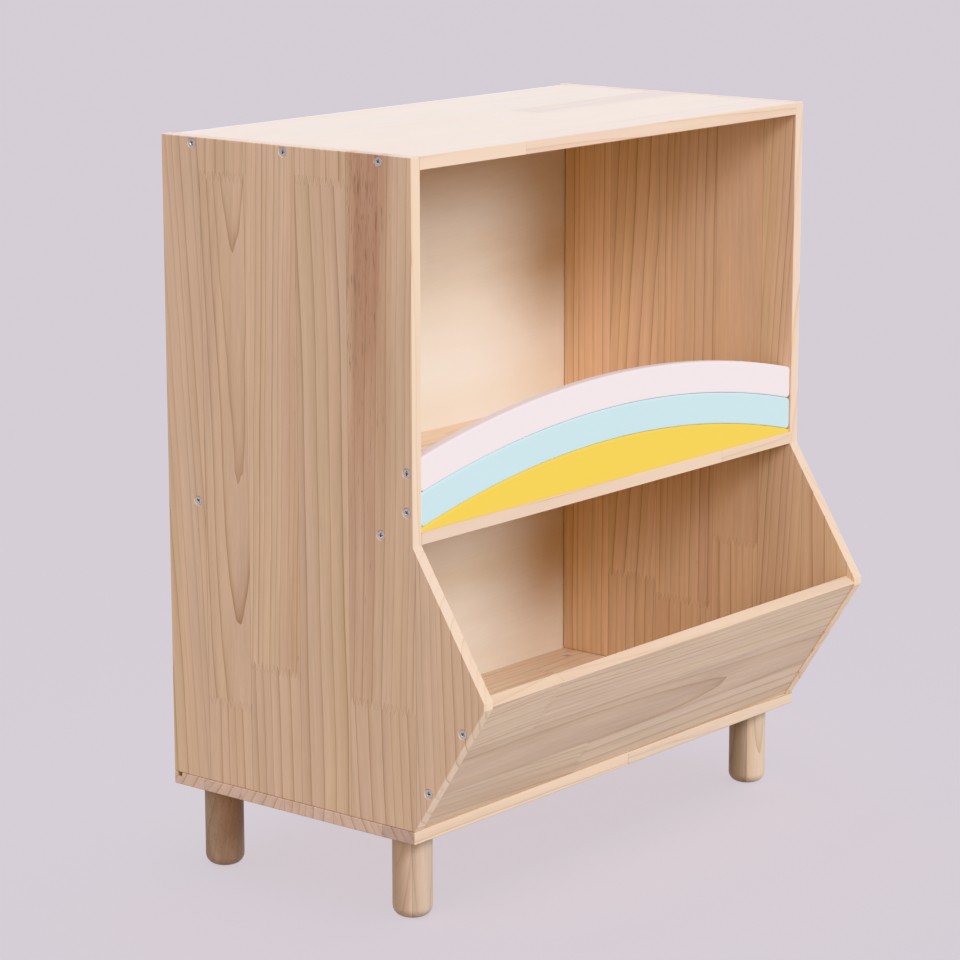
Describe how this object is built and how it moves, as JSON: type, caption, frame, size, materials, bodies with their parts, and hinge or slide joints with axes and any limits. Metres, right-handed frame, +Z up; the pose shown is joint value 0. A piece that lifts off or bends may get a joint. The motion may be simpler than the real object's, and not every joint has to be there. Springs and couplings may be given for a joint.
{
  "type": "children's storage cabinet",
  "caption": "Open pine storage cabinet for a child's room: a shelf behind a painted rainbow rail, a tilted toy bin below, on short round legs.",
  "frame": {"origin": "on the floor, under the middle of the bounding box", "axes": "+X to the right as seen from the front, +Y towards the back, +Z up; the bin and the rainbow face -Y"},
  "size_m": [0.6, 0.381, 0.7],
  "materials": {
    "pine_board": "edge-glued pine, clear matt lacquer",
    "plywood": "smooth veneered plywood, clear matt lacquer",
    "pink_paint": "pale pink satin paint on solid wood",
    "cyan_paint": "pale cyan satin paint on solid wood",
    "yellow_paint": "warm yellow satin paint on solid wood",
    "turned_wood": "turned hardwood, clear matt lacquer",
    "zinc_screw": "bright zinc plated steel"
  },
  "bodies": {
    "root": {"left_side_panel": "pine_board", "right_side_panel": "pine_board", "top_board": "pine_board", "middle_shelf": "pine_board", "bottom_board": "pine_board", "bin_front_panel": "pine_board", "back_panel": "plywood", "rainbow_outer_arc": "pink_paint", "rainbow_middle_arc": "cyan_paint", "rainbow_inner_segment": "yellow_paint", "front_left_leg": "turned_wood", "front_right_leg": "turned_wood", "rear_left_leg": "turned_wood", "rear_right_leg": "turned_wood", "top_board_screws": "zinc_screw", "shelf_screws": "zinc_screw", "outer_arc_screws": "zinc_screw", "middle_arc_screws": "zinc_screw", "inner_segment_screws": "zinc_screw", "bin_front_screws": "zinc_screw", "bottom_board_screws": "zinc_screw", "leg_screws": "zinc_screw"}
  },
  "joints": []
}
